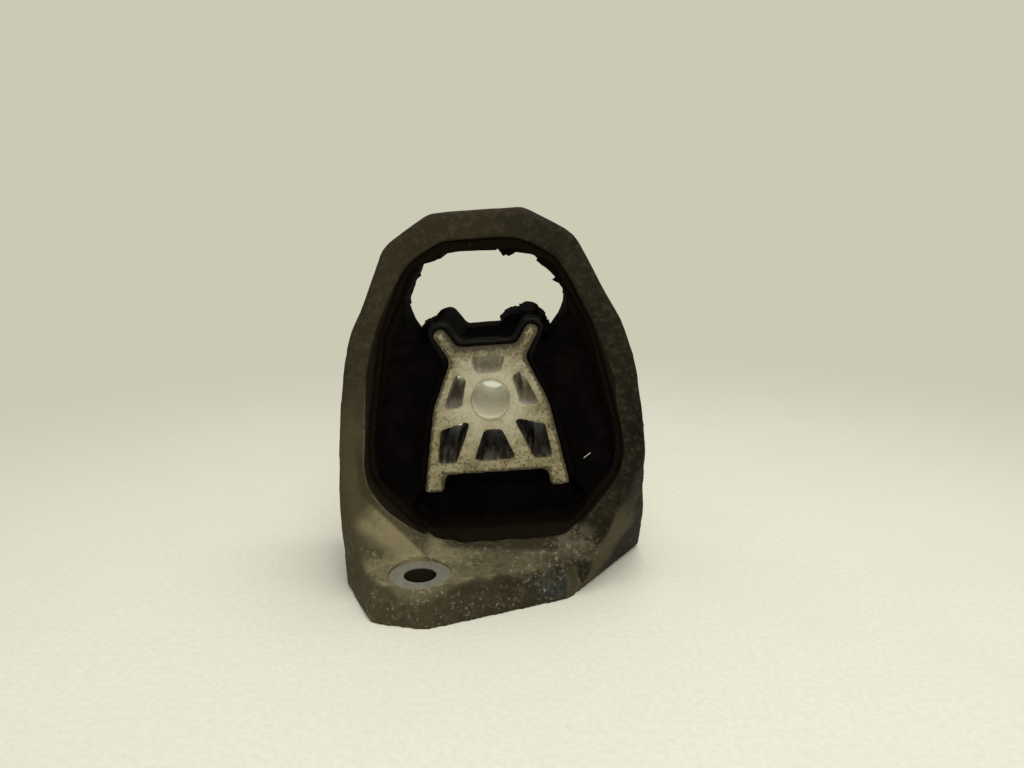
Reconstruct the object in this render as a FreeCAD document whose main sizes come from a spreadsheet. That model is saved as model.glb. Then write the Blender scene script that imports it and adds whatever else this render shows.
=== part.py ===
import FreeCAD, Part
import math
import os
import Sketcher
from FreeCAD import Placement, Rotation, Vector

# Engine mount in millimetres: a cast ring on a bolted foot, with a core carried in rubber.
# The base face is Z = 0, the core's bore runs along Y, and the front is towards -Y.

SIZES = {
    # ring of the bracket, in a frame through the bore that leans by this many degrees
    "lean": 4,
    "bore_height": 79,
    "ring_depth": 53,
    "ring_top": 71,
    "ring_top_half": 17.5,
    "ring_top_round": 9,
    "ring_shoulder_half": 35.3,
    "ring_shoulder_rise": 60.5,
    "ring_shoulder_round": 14,
    "ring_side_half": 50.6,
    "ring_side_rise": 28,
    "ring_side_round": 35,
    "ring_belly_half": 59.4,
    "ring_belly_drop": 16,
    "ring_belly_round": 60,
    "ring_foot_half": 59.8,
    "flare_half": 62.9,
    "flare_drop": 40,
    "flare_round": 20,
    "flare_foot_half": 63.6,
    "ring_foot_drop": 86,
    "ring_edge_round": 2.5,
    # opening through the ring
    "opening_top": 60.3,
    "opening_top_half": 14,
    "opening_top_round": 8,
    "opening_shoulder_half": 28.3,
    "opening_shoulder_rise": 52,
    "opening_shoulder_round": 10,
    "opening_side_half": 40.4,
    "opening_side_rise": 26,
    "opening_side_round": 25,
    "opening_belly_half": 49.3,
    "opening_belly_drop": 16,
    "opening_belly_round": 40,
    "opening_corner_drop": 31.5,
    "opening_corner_round": 20,
    "opening_floor_half": 27,
    "opening_floor_drop": 57.7,
    "opening_floor_round": 14,
    "opening_edge": 1.6,
    # facet that trims the bracket's lower right, from the base line upwards
    "facet_near_x": 26.4,
    "facet_near_y": 41.5,
    "facet_far_x": 79.9,
    "facet_far_y": 38.6,
    "facet_out_x": 120,
    "facet_height": 62,
    "facet_lean": 0.418,
    "trim_half": 100,
    "trim_depth": 30,
    # front ear of the foot
    "foot_height": 15,
    "foot_draft": 14,
    "ear_root_left": 56.6,
    "ear_root_y": 16,
    "ear_left_x": 57.1,
    "ear_left_y": 26.9,
    "ear_nose_x": 44.5,
    "ear_nose_y": 53.8,
    "ear_nose_round": 9,
    "ear_tip_x": 23.5,
    "ear_tip_y": 58.6,
    "ear_tip_round": 14,
    "ear_right_x": 31.1,
    "ear_right_y": 34.5,
    "ear_right_round": 6,
    "ear_root_right": 43.4,
    # rear ear of the foot
    "heel_root_y": 12,
    "heel_right_x": 65.4,
    "heel_root_right": 64.8,
    "heel_back_y": 60,
    "heel_round": 14,
    "heel_inner_x": 36,
    "heel_left_x": 46,
    "heel_left_y": 31,
    "heel_left_round": 8,
    "heel_root_left": 54,
    # bolt holes and their spot faces
    "bolt_hole": 12.5,
    "spot_face": 24,
    "spot_depth": 0.8,
    "front_bolt_x": 26.8,
    "front_bolt_y": 42.4,
    "rear_bolt_x": 50.5,
    "rear_bolt_y": 44.6,
    # gusset between the ring's lower left and the front ear
    "gusset_root_y": 20,
    "gusset_left_x": 55.4,
    "gusset_out_x": 50.5,
    "gusset_out_y": 38,
    "gusset_in_x": 22,
    "gusset_in_y": 28.5,
    "gusset_top": 49,
    "gusset_top_left": 57.6,
    "gusset_top_right": 53.4,
    "gusset_top_y": 26.9,
    # low ramp from the front ear up to the opening's floor
    "ramp_left_x": 36,
    "ramp_right_x": 48,
    "ramp_root_y": 20,
    "ramp_left_top": 19,
    "ramp_right_top": 22.3,
    "ramp_front_y": 26.5,
    "ramp_toe_y": 30,
    "ramp_base": 13,
    "ramp_toe_top": 15.2,
    # core
    "core_depth": 53,
    "core_web_top": 20.8,
    "core_web_half": 11.2,
    "core_web_round": 3,
    "horn_inner_half": 16.1,
    "horn_inner_rise": 28.4,
    "horn_outer_half": 20.9,
    "horn_outer_rise": 26.8,
    "horn_round": 2,
    "waist_half": 14.3,
    "waist_rise": 15.6,
    "waist_round": 5,
    "flank_half": 22.4,
    "flank_drop": 2.5,
    "flank_round": 30,
    "leg_half": 28.6,
    "leg_drop": 36,
    "leg_round": 1.4,
    "leg_inner_half": 21,
    "crotch_half": 20.2,
    "crotch_drop": 29.2,
    "crotch_round": 3,
    "core_bore": 14.5,
    "pocket_round": 1.2,
    "top_pocket_rise": 16.8,
    "top_pocket_half": 6.5,
    "top_pocket_foot": 10.5,
    "top_pocket_foot_half": 4.5,
    "upper_inner_x": 8.9,
    "upper_inner_rise": 8.2,
    "upper_top_x": 12.5,
    "upper_top_rise": 10.7,
    "upper_outer_x": 18.5,
    "upper_outer_drop": 3.1,
    "upper_low_x": 11.4,
    "upper_low_drop": 2.4,
    "lower_top_x": 8.3,
    "lower_top_drop": 7.9,
    "lower_outer_x": 20.1,
    "lower_outer_drop": 11.2,
    "lower_flank_x": 22.4,
    "lower_flank_drop": 24.6,
    "lower_foot_x": 15.3,
    "lower_foot_drop": 24.7,
    "low_pocket_top_half": 3.3,
    "low_pocket_top": 12.1,
    "low_pocket_foot_half": 8.2,
    "low_pocket_foot": 24.4,
    # rubber: lining of the ring, side lobes, coat of the core, floor lip
    "lining_depth": 47,
    "lobe_depth": 36,
    "coat_depth": 49,
    "coat_web_top": 23.2,
    "coat_web_half": 9.6,
    "coat_web_round": 2.4,
    "coat_horn_half": 15.4,
    "coat_horn_rise": 31.4,
    "coat_horn_out_half": 23.6,
    "coat_horn_out_rise": 29,
    "coat_horn_round": 3.6,
    "coat_waist_half": 17,
    "coat_waist_rise": 14.8,
    "coat_waist_round": 5,
    "coat_leg_half": 31,
    "coat_leg_drop": 33.5,
    "coat_leg_round": 2,
    "window_top": 56.3,
    "window_top_left": 13,
    "window_top_right": 7,
    "tooth_left": 8.4,
    "tooth_drop": 53.2,
    "tooth_right": 12.2,
    "tooth_back": 54.6,
    "window_right_shoulder_x": 19.8,
    "window_right_shoulder": 53.4,
    "window_right_side_x": 28.4,
    "window_right_side": 43.2,
    "nick_right_x": 29.6,
    "nick_right": 40.4,
    "window_right_edge_x": 31.8,
    "window_right_edge": 31,
    "window_right_edge_round": 3,
    "window_right_foot_x": 22.6,
    "window_right_foot": 20,
    "window_left_foot_x": 24.6,
    "window_left_foot": 22.4,
    "window_left_edge_x": 30.8,
    "window_left_edge": 29.8,
    "window_left_edge_round": 4,
    "window_left_side_x": 32,
    "window_left_side": 39.6,
    "nick_left_x": 29.6,
    "nick_left": 41.6,
    "window_left_bend_x": 27.6,
    "window_left_bend": 45.8,
    "window_left_shoulder_x": 22.8,
    "window_left_shoulder": 52.2,
    "window_left_step_x": 17.2,
    "window_left_step": 53.2,
    "void_top": 26,
    "void_top_half": 24,
    "void_corner_half": 36,
    "void_corner_drop": 45.5,
    "void_corner_round": 5,
    "void_floor_half": 27,
    "void_floor_drop": 53.6,
    "void_floor_round": 5,
    "lip_depth": 52,
    "lip_left_half": 34,
    "lip_right_half": 37,
    "lip_drop": 54.8,
    "lip_bottom_half": 22,
    "ridge_half": 9,
    "ridge_base": 21.5,
    "ridge_top": 24.2,
    "ridge_width": 2,
    "ridge_start": 12,
    "stub_depth": 24,
    "stub_base": 22,
    "stub_inner_x": 5.4,
    "stub_inner_top": 29.6,
    "stub_step_x": 9,
    "stub_step_top": 31.8,
    "stub_peak_x": 14,
    "stub_peak_top": 31.4,
    "stub_outer_x": 24.4,
    "stub_outer_top": 30.4,
    "stub_low_x": 22.6,
    "strip_depth": 22,
    "strip_base": 21,
    "strip_inner_x": 16,
    "strip_inner_top": 29.8,
    "strip_peak_x": 22.6,
    "strip_peak_top": 29.2,
    "strip_outer_x": 26,
    "strip_outer_top": 27.4,
    "strip_low_x": 25.6,
    "gusset_head_left_y": 26.9,
    "gusset_head_mid_x": 55.6,
    "gusset_head_mid_y": 27.4,
    "ramp_right_toe_y": 34,
    "opening_cut": 140,
    "spot_level": 14.2,
    "spot_cut": 30,
    "core_cut": 80,
    "lining_top_half": 12.9,
    "lining_shoulder_half": 26.4,
    "lining_shoulder_rise": 50.4,
    "lining_side_half": 38.6,
    "lining_belly_half": 47,
    "lining_corner_drop": 30,
    "coat_flank_half": 24.8,
    "snubber_depth": 20,
    "snubber_half": 29,
    "snubber_drop": 39.6,
    "snubber_round": 3,
    "snubber_foot_half": 35,
    "snubber_foot_drop": 50,
    "window_right_rise_x": 31.6,
    "window_right_rise": 38.4,
    "ridge_count": 3,
    "ridge_run": 14,
}

doc = FreeCAD.newDocument("engine_mount")
sheet = doc.addObject("Spreadsheet::Sheet", "Sizes")
for row, (name, value) in enumerate(SIZES.items(), start=1):
    sheet.set("A%d" % row, name)
    sheet.set("B%d" % row, str(value))
    sheet.setAlias("B%d" % row, name)
doc.recompute()


def number(size):
    """Value of a named size; a leading minus turns its sign."""
    if size.startswith("-"):
        return -SIZES[size[1:]]
    return SIZES[size]


def binding(size):
    """Expression for a named size; a leading minus turns its sign."""
    if size.startswith("-"):
        return "-Sizes." + size[1:]
    return "Sizes." + size


def new_body(label):
    body = doc.addObject("PartDesign::Body", label)
    body.Label = label
    return body


def new_sketch(body, role, label):
    """Sketch on one of the body's own origin planes."""
    plane = [item for item in body.Origin.OriginFeatures if item.Role == role][0]
    sketch = body.newObject("Sketcher::SketchObject", label)
    sketch.AttachmentSupport = [(plane, "")]
    sketch.MapMode = "FlatFace"
    return sketch


def leaning_sketch(body, label):
    """Sketch across the bore, in the ring's leaning frame."""
    sketch = new_sketch(body, "XZ_Plane", label)
    spin = Rotation(Vector(0, 0, 1), number("lean"))
    sketch.AttachmentOffset = Placement(Vector(0, number("bore_height"), 0), spin)
    sketch.setExpression("AttachmentOffset.Base.y", "Sizes.bore_height")
    sketch.setExpression("AttachmentOffset.Rotation.Angle", "Sizes.lean")
    return sketch


def offset_sketch(body, role, label, size):
    """Sketch parallel to an origin plane, moved along its normal."""
    sketch = new_sketch(body, role, label)
    sketch.AttachmentOffset = Placement(Vector(0, 0, number(size)), Rotation())
    sketch.setExpression("AttachmentOffset.Base.z", binding(size))
    return sketch


def pin(sketch, geometry, place, x, y):
    """Hold one point of the sketch at named distances from its origin."""
    across = sketch.addConstraint(Sketcher.Constraint("DistanceX", -1, 1, geometry, place, number(x)))
    sketch.setExpression("Constraints[%d]" % across, binding(x))
    along = sketch.addConstraint(Sketcher.Constraint("DistanceY", -1, 1, geometry, place, number(y)))
    sketch.setExpression("Constraints[%d]" % along, binding(y))


def outline(sketch, corners):
    """Closed outline through corners of (x, y) or (x, y, rounding radius)."""
    count = len(corners)
    spots = [Vector(number(c[0]), number(c[1]), 0) for c in corners]
    starts = []
    ends = []
    arcs = []
    for i, corner in enumerate(corners):
        spot = spots[i]
        if len(corner) < 3:
            ends.append(spot)
            starts.append(spot)
            arcs.append(None)
            continue
        back = (spots[i - 1] - spot).normalize()
        ahead = (spots[(i + 1) % count] - spot).normalize()
        half = back.getAngle(ahead) / 2
        radius = number(corner[2])
        reach = radius / math.tan(half)
        enter = spot + back * reach
        leave = spot + ahead * reach
        middle = spot + (back + ahead).normalize() * (radius / math.sin(half))
        left_turn = back.cross(ahead).z < 0
        first, last = (enter, leave) if left_turn else (leave, enter)
        a0 = math.atan2(first.y - middle.y, first.x - middle.x)
        a1 = math.atan2(last.y - middle.y, last.x - middle.x)
        circle = Part.Circle(middle, Vector(0, 0, 1), radius)
        arcs.append((Part.ArcOfCircle(circle, a0, a1), left_turn))
        ends.append(enter)
        starts.append(leave)
    lines = []
    for i in range(count):
        lines.append(sketch.addGeometry(Part.LineSegment(starts[i], ends[(i + 1) % count]), False))
    for i, corner in enumerate(corners):
        before = lines[i - 1]
        after = lines[i]
        if arcs[i] is None:
            sketch.addConstraint(Sketcher.Constraint("Coincident", before, 2, after, 1))
            pin(sketch, after, 1, corner[0], corner[1])
            continue
        shape, left_turn = arcs[i]
        arc = sketch.addGeometry(shape, False)
        enter, leave = (1, 2) if left_turn else (2, 1)
        point = sketch.addGeometry(Part.Point(spots[i]), True)
        sketch.addConstraint(Sketcher.Constraint("Tangent", before, 2, arc, enter))
        sketch.addConstraint(Sketcher.Constraint("Tangent", arc, leave, after, 1))
        round_off = sketch.addConstraint(Sketcher.Constraint("Radius", arc, number(corner[2])))
        sketch.setExpression("Constraints[%d]" % round_off, binding(corner[2]))
        sketch.addConstraint(Sketcher.Constraint("PointOnObject", point, 1, before))
        sketch.addConstraint(Sketcher.Constraint("PointOnObject", point, 1, after))
        pin(sketch, point, 1, corner[0], corner[1])


def mirrored(corners):
    """Corners on the right, then the same ones on the left in return order."""
    return corners + [("-" + c[0],) + tuple(c[1:]) for c in reversed(corners)]


def circle(sketch, x, y, diameter):
    """Round outline of a named diameter at a named place."""
    where = Vector(number(x) if x else 0, number(y) if y else 0, 0)
    ring = sketch.addGeometry(Part.Circle(where, Vector(0, 0, 1), number(diameter) / 2), False)
    wide = sketch.addConstraint(Sketcher.Constraint("Diameter", ring, number(diameter)))
    sketch.setExpression("Constraints[%d]" % wide, binding(diameter))
    if x:
        pin(sketch, ring, 3, x, y)
    else:
        sketch.addConstraint(Sketcher.Constraint("Coincident", ring, 3, -1, 1))


def extrude(body, kind, label, sketch, length, centred=False, turned=False):
    """Pad or pocket of a sketch by a named length."""
    feature = body.newObject("PartDesign::" + kind, label)
    feature.Profile = sketch
    feature.Type = "Length"
    feature.setExpression("Length", binding(length))
    feature.Midplane = centred
    feature.Reversed = turned
    sketch.Visibility = False
    doc.recompute()
    return feature


# Bracket: the ring, its trimmed lower right and the foot with two ears.
bracket = new_body("bracket_casting")

sketch = leaning_sketch(bracket, "ring_outline")
outline(sketch, [
    ("-ring_top_half", "ring_top", "ring_top_round"),
    ("-ring_shoulder_half", "ring_shoulder_rise", "ring_shoulder_round"),
    ("-ring_side_half", "ring_side_rise", "ring_side_round"),
    ("-flare_half", "-flare_drop", "flare_round"),
    ("-flare_foot_half", "-ring_foot_drop"),
    ("ring_foot_half", "-ring_foot_drop"),
    ("ring_belly_half", "-ring_belly_drop", "ring_belly_round"),
    ("ring_side_half", "ring_side_rise", "ring_side_round"),
    ("ring_shoulder_half", "ring_shoulder_rise", "ring_shoulder_round"),
    ("ring_top_half", "ring_top", "ring_top_round"),
])
ring = extrude(bracket, "Pad", "ring", sketch, "ring_depth", centred=True)


def rim_edges(shape, depth, least):
    """Names of the edges that lie in the two end faces of a part this deep."""
    names = []
    for index, edge in enumerate(shape.Edges, start=1):
        box = edge.BoundBox
        flat = box.YLength < 0.01
        at_end = abs(abs(box.Center.y) - depth / 2) < 0.01
        if flat and at_end and edge.Length > least:
            names.append("Edge%d" % index)
    return names


rim = bracket.newObject("PartDesign::Fillet", "ring_edges")
rim.Base = (ring, rim_edges(ring.Shape, number("ring_depth"), 0.1))
rim.setExpression("Radius", "Sizes.ring_edge_round")
ring.Visibility = False
doc.recompute()

sketch = new_sketch(bracket, "XY_Plane", "below_base")
outline(sketch, [
    ("-trim_half", "-trim_half"),
    ("trim_half", "-trim_half"),
    ("trim_half", "trim_half"),
    ("-trim_half", "trim_half"),
])
extrude(bracket, "Pocket", "base_face", sketch, "trim_depth")

# the facet leans outwards as it rises from the base line
sketch = new_sketch(bracket, "XY_Plane", "facet_outline")
outline(sketch, [
    ("facet_near_x", "-facet_near_y"),
    ("facet_out_x", "-facet_near_y"),
    ("facet_far_x", "facet_far_y"),
])
facet = extrude(bracket, "Pocket", "facet", sketch, "facet_height")
facet.UseCustomVector = True
facet.AlongSketchNormal = True
facet.Direction = Vector(number("facet_lean"), 0, 1)
facet.setExpression("Direction.x", "Sizes.facet_lean")
doc.recompute()

sketch = new_sketch(bracket, "XY_Plane", "front_ear_outline")
outline(sketch, [
    ("-ear_root_left", "-ear_root_y"),
    ("-ear_left_x", "-ear_left_y"),
    ("-ear_nose_x", "-ear_nose_y", "ear_nose_round"),
    ("-ear_tip_x", "-ear_tip_y", "ear_tip_round"),
    ("ear_right_x", "-ear_right_y", "ear_right_round"),
    ("ear_root_right", "-ear_root_y"),
])
ear = extrude(bracket, "Pad", "front_ear", sketch, "foot_height")
ear.setExpression("TaperAngle", "-Sizes.foot_draft")

sketch = new_sketch(bracket, "XY_Plane", "rear_ear_outline")
outline(sketch, [
    ("-heel_root_left", "heel_root_y"),
    ("heel_root_right", "heel_root_y"),
    ("heel_right_x", "heel_back_y", "heel_round"),
    ("heel_inner_x", "heel_back_y", "heel_round"),
    ("-heel_left_x", "heel_left_y", "heel_left_round"),
])
heel = extrude(bracket, "Pad", "rear_ear", sketch, "foot_height")
heel.setExpression("TaperAngle", "-Sizes.foot_draft")
doc.recompute()

# gusset up the ring's lower left, from a wide foot to a narrow top
low = offset_sketch(bracket, "XY_Plane", "gusset_foot", "ramp_base")
outline(low, [
    ("-gusset_left_x", "-gusset_root_y"),
    ("-gusset_left_x", "-ear_left_y"),
    ("-gusset_out_x", "-gusset_out_y"),
    ("-gusset_in_x", "-gusset_in_y"),
    ("-gusset_in_x", "-gusset_root_y"),
])
high = offset_sketch(bracket, "XY_Plane", "gusset_head", "gusset_top")
outline(high, [
    ("-gusset_top_left", "-gusset_root_y"),
    ("-gusset_top_left", "-gusset_head_left_y"),
    ("-gusset_head_mid_x", "-gusset_head_mid_y"),
    ("-gusset_top_right", "-gusset_top_y"),
    ("-gusset_top_right", "-gusset_root_y"),
])
gusset = bracket.newObject("PartDesign::AdditiveLoft", "gusset")
gusset.Profile = low
gusset.Sections = [high]
gusset.Ruled = True
low.Visibility = False
high.Visibility = False

# low ramp across the front, up to the opening's floor
near = offset_sketch(bracket, "YZ_Plane", "ramp_left", "-ramp_left_x")
outline(near, [
    ("-ramp_root_y", "ramp_base"),
    ("-ramp_root_y", "ramp_left_top"),
    ("-ramp_front_y", "ramp_left_top"),
    ("-ramp_toe_y", "ramp_toe_top"),
    ("-ramp_toe_y", "ramp_base"),
])
far = offset_sketch(bracket, "YZ_Plane", "ramp_right", "ramp_right_x")
outline(far, [
    ("-ramp_root_y", "ramp_base"),
    ("-ramp_root_y", "ramp_right_top"),
    ("-ramp_front_y", "ramp_right_top"),
    ("-ramp_right_toe_y", "ramp_toe_top"),
    ("-ramp_right_toe_y", "ramp_base"),
])
ramp = bracket.newObject("PartDesign::AdditiveLoft", "ramp")
ramp.Profile = near
ramp.Sections = [far]
ramp.Ruled = True
near.Visibility = False
far.Visibility = False
doc.recompute()


facet_end = bracket.newObject("PartDesign::Pocket", "facet_end")
facet_end.Profile = facet.Profile
facet_end.Type = "Length"
facet_end.setExpression("Length", "Sizes.facet_height")
facet_end.UseCustomVector = True
facet_end.Direction = facet.Direction
facet_end.setExpression("Direction.x", "Sizes.facet_lean")
doc.recompute()


def opening_outline(sketch):
    """Egg-shaped opening, flat at its top and its floor."""
    outline(sketch, mirrored([
        ("opening_top_half", "opening_top", "opening_top_round"),
        ("opening_shoulder_half", "opening_shoulder_rise", "opening_shoulder_round"),
        ("opening_side_half", "opening_side_rise", "opening_side_round"),
        ("opening_belly_half", "-opening_belly_drop", "opening_belly_round"),
        ("opening_belly_half", "-opening_corner_drop", "opening_corner_round"),
        ("opening_floor_half", "-opening_floor_drop", "opening_floor_round"),
    ]))


sketch = leaning_sketch(bracket, "opening_outline")
opening_outline(sketch)
extrude(bracket, "Pocket", "opening", sketch, "opening_cut", centred=True)

sketch = offset_sketch(bracket, "XY_Plane", "spot_outlines", "spot_level")
circle(sketch, "-front_bolt_x", "-front_bolt_y", "spot_face")
circle(sketch, "rear_bolt_x", "rear_bolt_y", "spot_face")
extrude(bracket, "Pocket", "spot_faces", sketch, "spot_cut", turned=True)

sketch = new_sketch(bracket, "XY_Plane", "bolt_outlines")
circle(sketch, "-front_bolt_x", "-front_bolt_y", "bolt_hole")
circle(sketch, "rear_bolt_x", "rear_bolt_y", "bolt_hole")
extrude(bracket, "Pocket", "bolt_holes", sketch, "trim_depth", turned=True)

# Core: the horned casting round the bore.
core = new_body("core_casting")


def core_outline(sketch):
    """Outline of the core, from one horn down to the leg and back."""
    outline(sketch, mirrored([
        ("core_web_half", "core_web_top", "core_web_round"),
        ("horn_inner_half", "horn_inner_rise", "horn_round"),
        ("horn_outer_half", "horn_outer_rise", "horn_round"),
        ("waist_half", "waist_rise", "waist_round"),
        ("flank_half", "-flank_drop", "flank_round"),
        ("leg_half", "-leg_drop", "leg_round"),
        ("leg_inner_half", "-leg_drop", "leg_round"),
        ("crotch_half", "-crotch_drop", "crotch_round"),
    ]))


sketch = leaning_sketch(core, "core_outline")
core_outline(sketch)
extrude(core, "Pad", "core_block", sketch, "core_depth", centred=True)

sketch = leaning_sketch(core, "middle_pockets")
outline(sketch, [
    ("-top_pocket_half", "top_pocket_rise", "pocket_round"),
    ("-top_pocket_foot_half", "top_pocket_foot", "pocket_round"),
    ("top_pocket_foot_half", "top_pocket_foot", "pocket_round"),
    ("top_pocket_half", "top_pocket_rise", "pocket_round"),
])
outline(sketch, [
    ("-low_pocket_top_half", "-low_pocket_top", "pocket_round"),
    ("-low_pocket_foot_half", "-low_pocket_foot", "pocket_round"),
    ("low_pocket_foot_half", "-low_pocket_foot", "pocket_round"),
    ("low_pocket_top_half", "-low_pocket_top", "pocket_round"),
])
circle(sketch, None, None, "core_bore")
extrude(core, "Pocket", "middle_openings", sketch, "core_cut", centred=True)

for side, sign in (("right", ""), ("left", "-")):
    sketch = leaning_sketch(core, side + "_pockets")
    outline(sketch, [
        (sign + "upper_inner_x", "upper_inner_rise", "pocket_round"),
        (sign + "upper_top_x", "upper_top_rise", "pocket_round"),
        (sign + "upper_outer_x", "-upper_outer_drop", "pocket_round"),
        (sign + "upper_low_x", "-upper_low_drop", "pocket_round"),
    ])
    outline(sketch, [
        (sign + "lower_top_x", "-lower_top_drop", "pocket_round"),
        (sign + "lower_outer_x", "-lower_outer_drop", "pocket_round"),
        (sign + "lower_flank_x", "-lower_flank_drop", "pocket_round"),
        (sign + "lower_foot_x", "-lower_foot_drop", "pocket_round"),
    ])
    extrude(core, "Pocket", side + "_openings", sketch, "core_cut", centred=True)

# Rubber: one moulding bonded to the ring's opening and round the core.
rubber = new_body("rubber_spring")

sketch = leaning_sketch(rubber, "lobe_outline")
opening_outline(sketch)
extrude(rubber, "Pad", "lobes", sketch, "lobe_depth", centred=True)

sketch = leaning_sketch(rubber, "lining_outline")
opening_outline(sketch)
outline(sketch, mirrored([
    ("lining_top_half", "window_top", "opening_top_round"),
    ("lining_shoulder_half", "lining_shoulder_rise", "opening_shoulder_round"),
    ("lining_side_half", "opening_side_rise", "opening_side_round"),
    ("lining_belly_half", "-opening_belly_drop", "opening_belly_round"),
    ("lining_belly_half", "-lining_corner_drop", "opening_corner_round"),
    ("void_floor_half", "-void_floor_drop", "opening_floor_round"),
]))
extrude(rubber, "Pad", "lining_shell", sketch, "lining_depth", centred=True)

# the torn upper window
sketch = leaning_sketch(rubber, "window_outline")
outline(sketch, [
    ("-window_left_foot_x", "window_left_foot"),
    ("-window_left_edge_x", "window_left_edge", "window_left_edge_round"),
    ("-window_left_side_x", "window_left_side"),
    ("-nick_left_x", "nick_left"),
    ("-window_left_bend_x", "window_left_bend"),
    ("-window_left_shoulder_x", "window_left_shoulder"),
    ("-window_left_step_x", "window_left_step"),
    ("-window_top_left", "window_top"),
    ("window_top_right", "window_top"),
    ("tooth_left", "tooth_drop"),
    ("tooth_right", "tooth_back"),
    ("window_right_shoulder_x", "window_right_shoulder"),
    ("window_right_side_x", "window_right_side"),
    ("nick_right_x", "nick_right"),
    ("window_right_rise_x", "window_right_rise"),
    ("window_right_edge_x", "window_right_edge", "window_right_edge_round"),
    ("window_right_foot_x", "window_right_foot"),
])
extrude(rubber, "Pocket", "window", sketch, "opening_cut", centred=True)

# the gap under the core
sketch = leaning_sketch(rubber, "void_outline")
outline(sketch, mirrored([
    ("void_top_half", "-void_top"),
    ("void_corner_half", "-void_corner_drop", "void_corner_round"),
    ("void_floor_half", "-void_floor_drop", "void_floor_round"),
]))
extrude(rubber, "Pocket", "void", sketch, "opening_cut", centred=True)

# snubber block on the floor, under the core
sketch = leaning_sketch(rubber, "snubber_outline")
outline(sketch, mirrored([
    ("snubber_half", "-snubber_drop", "snubber_round"),
    ("snubber_foot_half", "-snubber_foot_drop"),
    ("void_floor_half", "-lip_drop"),
]))
extrude(rubber, "Pad", "snubber", sketch, "snubber_depth", centred=True)

sketch = leaning_sketch(rubber, "coat_outline")
outline(sketch, mirrored([
    ("coat_web_half", "coat_web_top", "coat_web_round"),
    ("coat_horn_half", "coat_horn_rise", "coat_horn_round"),
    ("coat_horn_out_half", "coat_horn_out_rise", "coat_horn_round"),
    ("coat_waist_half", "coat_waist_rise", "coat_waist_round"),
    ("coat_flank_half", "-flank_drop", "flank_round"),
    ("coat_leg_half", "-coat_leg_drop", "coat_leg_round"),
    ("leg_inner_half", "-coat_leg_drop"),
    ("leg_inner_half", "-void_top"),
]))
extrude(rubber, "Pad", "coat", sketch, "coat_depth", centred=True)

# ragged stubs of the torn arms, left on the horns
sketch = leaning_sketch(rubber, "right_stub_outline")
outline(sketch, [
    ("stub_inner_x", "stub_base"),
    ("stub_low_x", "stub_base"),
    ("stub_outer_x", "stub_outer_top"),
    ("stub_peak_x", "stub_peak_top"),
    ("stub_step_x", "stub_step_top"),
    ("stub_inner_x", "stub_inner_top"),
])
extrude(rubber, "Pad", "right_stub", sketch, "stub_depth", centred=True)

sketch = leaning_sketch(rubber, "left_stub_outline")
outline(sketch, [
    ("-strip_inner_x", "strip_base"),
    ("-strip_inner_x", "strip_inner_top"),
    ("-strip_peak_x", "strip_peak_top"),
    ("-strip_outer_x", "strip_outer_top"),
    ("-strip_low_x", "strip_base"),
])
extrude(rubber, "Pad", "left_stub", sketch, "strip_depth", centred=True)

# floor lip at the foot of the opening
sketch = leaning_sketch(rubber, "lip_outline")
outline(sketch, [
    ("-lip_left_half", "-lip_drop"),
    ("-lip_bottom_half", "-opening_floor_drop"),
    ("lip_bottom_half", "-opening_floor_drop"),
    ("lip_right_half", "-lip_drop"),
])
extrude(rubber, "Pad", "floor_lip", sketch, "lip_depth", centred=True)

# everything outside the ring's opening goes
sketch = leaning_sketch(rubber, "outside_outline")
outline(sketch, [
    ("-trim_half", "-trim_half"),
    ("trim_half", "-trim_half"),
    ("trim_half", "trim_half"),
    ("-trim_half", "trim_half"),
])
opening_outline(sketch)
extrude(rubber, "Pocket", "outside", sketch, "opening_cut", centred=True)

sketch = leaning_sketch(rubber, "core_seat_outline")
core_outline(sketch)
extrude(rubber, "Pocket", "core_seat", sketch, "opening_cut", centred=True)

# shallow ridges across the trough between the horns
sketch = leaning_sketch(rubber, "ridge_outline")
sketch.AttachmentOffset = sketch.AttachmentOffset * Placement(Vector(0, 0, number("ridge_start")), Rotation())
sketch.setExpression("AttachmentOffset.Base.z", "Sizes.ridge_start")
outline(sketch, mirrored([
    ("ridge_half", "ridge_top"),
    ("ridge_half", "ridge_base"),
]))
ridge = extrude(rubber, "Pad", "ridge", sketch, "ridge_width", turned=True)
ridges = rubber.newObject("PartDesign::LinearPattern", "ridges")
ridges.Originals = [ridge]
ridges.Direction = (sketch, ["N_Axis"])
ridges.Reversed = True
ridges.setExpression("Length", "Sizes.ridge_run")
ridges.setExpression("Occurrences", "Sizes.ridge_count")
rubber.Tip = ridges
doc.recompute()

doc.recompute()
faults = [item.Label for item in doc.Objects if "Invalid" in item.State or "Error" in item.State]
if faults:
    raise RuntimeError("these did not recompute: " + ", ".join(faults))
os.makedirs("parts", exist_ok=True)
for body in (bracket, core, rubber):
    shape = body.Shape
    if shape.isNull() or not shape.isValid() or len(shape.Solids) != 1:
        raise RuntimeError(body.Label + " is not one valid solid")
    shape.exportStep("parts/%s.step" % body.Label)
    print(body.Label, "written,", round(shape.Volume / 1000, 1), "cm3")
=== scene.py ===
import bpy
import bmesh
import math
from mathutils import Matrix, Vector, noise


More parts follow.
